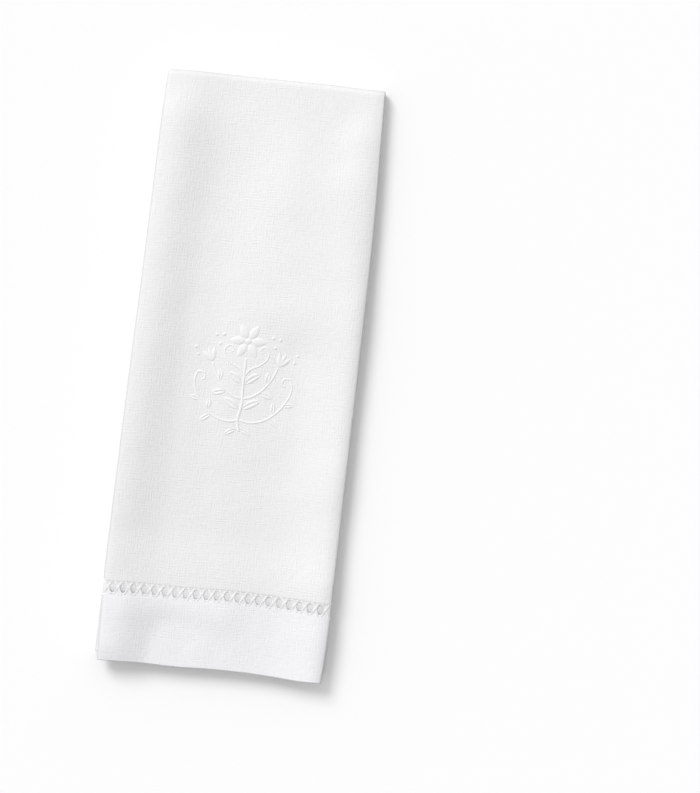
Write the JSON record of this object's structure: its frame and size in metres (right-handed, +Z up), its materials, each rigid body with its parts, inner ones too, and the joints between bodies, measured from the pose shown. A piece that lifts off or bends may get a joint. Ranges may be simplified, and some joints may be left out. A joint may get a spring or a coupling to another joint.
{
  "type": "hand towel",
  "caption": "White linen hand towel with hemstitched ends, folded in thirds and then in half, lying face up, with raised white embroidery.",
  "frame": {"origin": "on the surface that the towel lies on, under the middle of the folded towel", "axes": "+Y from the open hems to the fold, +X across the front panel to its right, +Z up from the surface, out of the front panel"},
  "size_m": [0.1415, 0.3653, 0.0153],
  "materials": {
    "linen": "plain woven linen, matte, with fine uneven threads",
    "thread": "white cotton thread with a soft sheen"
  },
  "bodies": {
    "root": {"towel": "linen"}
  },
  "joints": []
}
